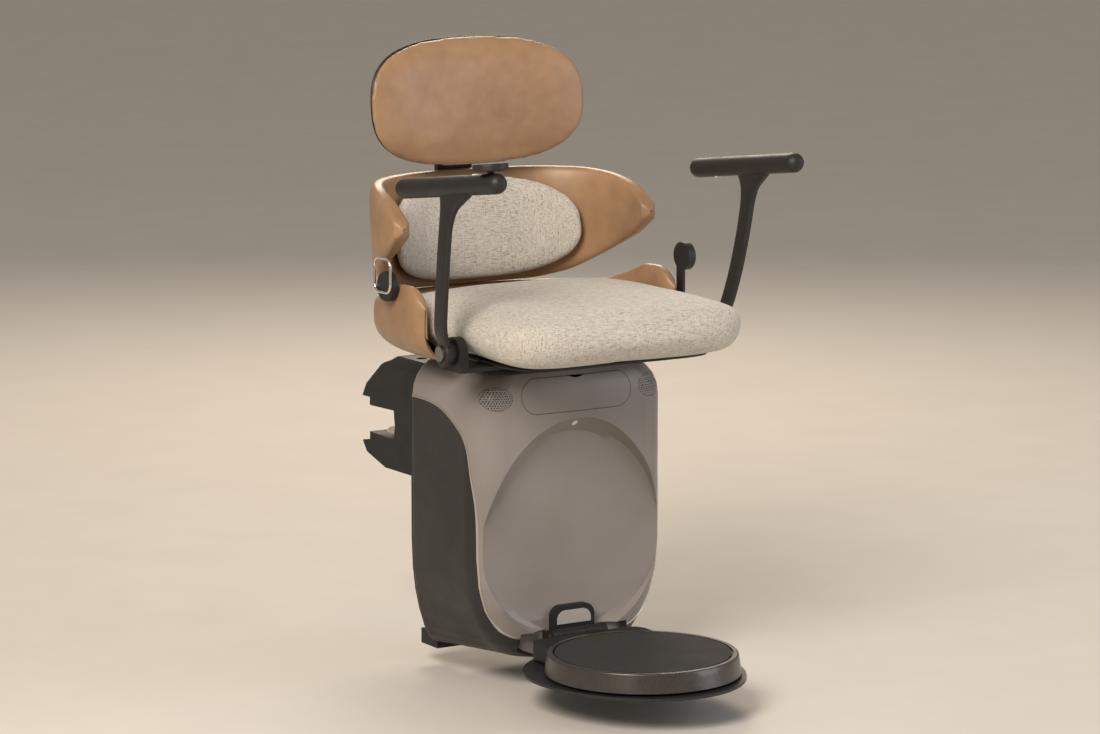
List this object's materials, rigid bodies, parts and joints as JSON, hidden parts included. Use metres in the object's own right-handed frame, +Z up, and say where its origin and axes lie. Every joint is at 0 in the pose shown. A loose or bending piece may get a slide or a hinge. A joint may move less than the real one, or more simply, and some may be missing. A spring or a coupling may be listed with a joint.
{
  "type": "stairlift chair",
  "caption": "Stairlift chair: padded seat with wrap-round leather back, folding arms and round folding footrest on a powered housing and rail carriage.",
  "frame": {"origin": "on the axis of the rail tube, midway along the carriage jaws", "axes": "+Z up, the sitter faces -Y, the sitter's left is +X, the rail runs along X"},
  "size_m": [0.5427, 0.796, 0.9105],
  "materials": {
    "seat_fabric": "woven heathered upholstery",
    "tan_leather": "smooth semi-aniline hide",
    "cover_grey": "satin moulded cover, warm dark grey",
    "panel_black": "satin black moulded panel",
    "arm_black": "soft-touch black",
    "frame_black": "fine-texture black powder coat",
    "trim_silver": "satin anodised",
    "bright_chrome": "polished",
    "plain_steel": "zinc plated",
    "mat_rubber": "fine anti-slip texture",
    "roller_nylon": "wear-resistant polymer",
    "lens_white": "translucent lens",
    "battery_case": "moulded case",
    "board_green": "coated circuit board",
    "arch_grey": "satin moulded face, light warm grey",
    "switch_red": "moulded rocker",
    "jaw_black": "cast, black powder coat",
    "rim_metal": "spun ring, dark satin anodised",
    "hatch_grey": "satin moulded lid",
    "bronze_bush": "turned bush"
  },
  "bodies": {
    "carriage": {"upper_jaw": "jaw_black", "lower_jaw": "jaw_black", "carriage_web": "frame_black", "jaw_bolts": "plain_steel", "roller_axles": "plain_steel", "levelling_hub": "frame_black", "levelling_gear": "plain_steel", "drive_motor": "frame_black"},
    "roller_upper_right": {"roller_upper_right": "roller_nylon"},
    "roller_upper_left": {"roller_upper_left": "roller_nylon"},
    "roller_lower_right": {"roller_lower_right": "roller_nylon"},
    "roller_lower_left": {"roller_lower_left": "roller_nylon"},
    "drive_pinion": {"drive_pinion": "plain_steel"},
    "levelling_pinion": {"levelling_pinion": "plain_steel"},
    "housing": {"chassis": "frame_black", "hub_bush": "bronze_bush", "front_cover": "cover_grey", "side_cover_left": "panel_black", "side_cover_right": "panel_black", "side_trims": "trim_silver", "battery_left": "battery_case", "battery_right": "battery_case", "control_board": "board_green", "levelling_motor": "frame_black", "chassis_screws": "plain_steel", "rear_brackets": "frame_black", "speakers": "cover_grey", "recess_light": "lens_white", "hatch_tray": "panel_black", "seat_post": "plain_steel", "hinge_bracket": "frame_black", "hinge_face": "arch_grey", "hinge_pin": "plain_steel"},
    "hatch": {"hatch_panel": "hatch_grey"},
    "isolator": {"isolator_switch": "switch_red"},
    "footrest": {"footrest_plate": "frame_black", "footrest_mat": "mat_rubber", "footrest_rim": "rim_metal", "footrest_neck": "frame_black"},
    "flange": {"safety_flange": "panel_black"},
    "seat": {"swivel_ring": "frame_black", "seat_plate": "frame_black", "seat_cushion": "seat_fabric", "hip_shell": "tan_leather", "lower_back_shell": "tan_leather", "lower_back_pad": "seat_fabric", "headrest_cushion": "tan_leather", "headrest_shell": "panel_black", "back_spine": "frame_black", "arm_brackets": "frame_black", "arm_pins": "plain_steel", "belt_reel_case": "arm_black", "belt_tongue": "bright_chrome", "buckle_case": "arm_black"},
    "buckle_release": {"buckle_button": "arm_black"},
    "arm_right": {"arm_frame_right": "arm_black", "status_light": "lens_white"},
    "arm_left": {"arm_frame_left": "arm_black", "arm_light": "lens_white"},
    "joystick": {"joystick": "arm_black"}
  },
  "joints": [
    {"name": "roller_upper_right_spin", "type": "hinge", "parent": "carriage", "child": "roller_upper_right", "pos_m": [-0.062, 0, 0.03005], "axis": [0, 1, 0], "continuous": true},
    {"name": "roller_upper_left_spin", "type": "hinge", "parent": "carriage", "child": "roller_upper_left", "pos_m": [0.062, 0, 0.03005], "axis": [0, 1, 0], "continuous": true},
    {"name": "roller_lower_right_spin", "type": "hinge", "parent": "carriage", "child": "roller_lower_right", "pos_m": [-0.062, 0, -0.03005], "axis": [0, 1, 0], "continuous": true},
    {"name": "roller_lower_left_spin", "type": "hinge", "parent": "carriage", "child": "roller_lower_left", "pos_m": [0.062, 0, -0.03005], "axis": [0, 1, 0], "continuous": true},
    {"name": "drive_pinion_spin", "type": "hinge", "parent": "carriage", "child": "drive_pinion", "pos_m": [0, 0, -0.036], "axis": [0, 1, 0], "continuous": true},
    {"name": "seat_levelling", "type": "hinge", "parent": "carriage", "child": "housing", "pos_m": [0, -0.16, 0], "axis": [0, 1, 0], "range_deg": [-50, 50]},
    {"name": "levelling_pinion_spin", "type": "hinge", "parent": "housing", "child": "levelling_pinion", "pos_m": [0, -0.22, -0.075], "axis": [0, 1, 0], "range_deg": [-220, 220]},
    {"name": "hatch_lid", "type": "hinge", "parent": "housing", "child": "hatch", "pos_m": [0, -0.415, 0.0683], "axis": [1, 0, 0], "range_deg": [0, 80]},
    {"name": "isolator_rocker", "type": "hinge", "parent": "housing", "child": "isolator", "pos_m": [-0.04, -0.377, 0.094], "axis": [1, 0, 0], "range_deg": [-7, 7]},
    {"name": "footrest_fold", "type": "hinge", "parent": "housing", "child": "footrest", "pos_m": [0, -0.413, -0.2645], "axis": [-1, 0, 0], "range_deg": [0, 90]},
    {"name": "flange_press", "type": "slide", "parent": "footrest", "child": "flange", "axis": [0, 0, 1], "range_m": [0, 0.0025], "stiffness_N_per_m": 2500},
    {"name": "seat_swivel", "type": "hinge", "parent": "housing", "child": "seat", "pos_m": [0, -0.325, 0.152], "axis": [0, 0, 1], "range_deg": [-90, 90]},
    {"name": "buckle_press", "type": "slide", "parent": "seat", "child": "buckle_release", "axis": [-1, 0, 0], "range_m": [0, 0.002], "stiffness_N_per_m": 600},
    {"name": "arm_fold_right", "type": "hinge", "parent": "seat", "child": "arm_right", "pos_m": [-0.2304, -0.427, 0.173], "axis": [-1, 0, 0], "range_deg": [0, 75]},
    {"name": "arm_fold_left", "type": "hinge", "parent": "seat", "child": "arm_left", "pos_m": [0.2304, -0.427, 0.173], "axis": [-1, 0, 0], "range_deg": [0, 75]},
    {"name": "joystick_tilt", "type": "hinge", "parent": "arm_right", "child": "joystick", "pos_m": [-0.25016, -0.58442, 0.44174], "axis": [0, 1, 0], "range_deg": [-10, 10], "stiffness_Nm_per_rad": 0.6}
  ],
  "couplings": [
    {"joint": "levelling_pinion_spin", "follows": "seat_levelling", "ratio": 4}
  ]
}
